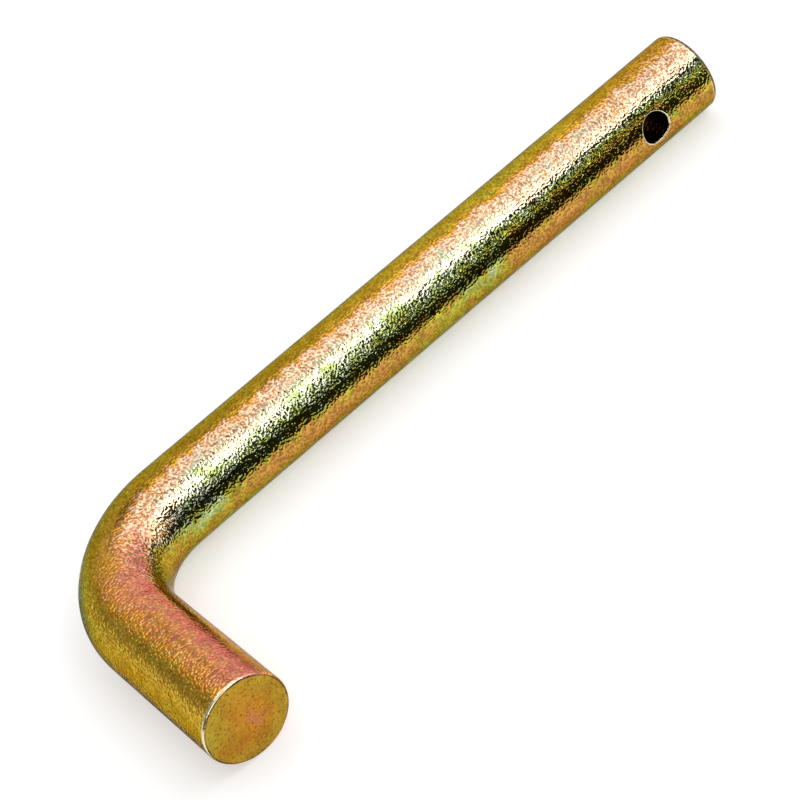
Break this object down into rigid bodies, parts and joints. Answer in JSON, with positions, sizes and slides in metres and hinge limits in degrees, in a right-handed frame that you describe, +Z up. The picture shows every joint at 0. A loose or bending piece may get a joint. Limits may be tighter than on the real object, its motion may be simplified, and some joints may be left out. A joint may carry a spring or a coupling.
{
  "type": "bent retaining pin",
  "caption": "Steel retaining pin bent from round bar: a short right-angle handle, a straight shank and a cross-drilled clip hole near its free end, in iridescent yellow zinc plate.",
  "frame": {"origin": "on the shank's axis, where the straight shank starts at the end of the bend", "axes": "+X along the shank to its free end, -Y along the handle, +Z up from the surface that the pin lies on"},
  "size_m": [0.1549, 0.0578, 0.0158],
  "materials": {
    "zinc_plate": "semi-bright yellow chromate over zinc plate, with pink and green iridescence"
  },
  "bodies": {
    "root": {"bent_pin": "zinc_plate"}
  },
  "joints": []
}
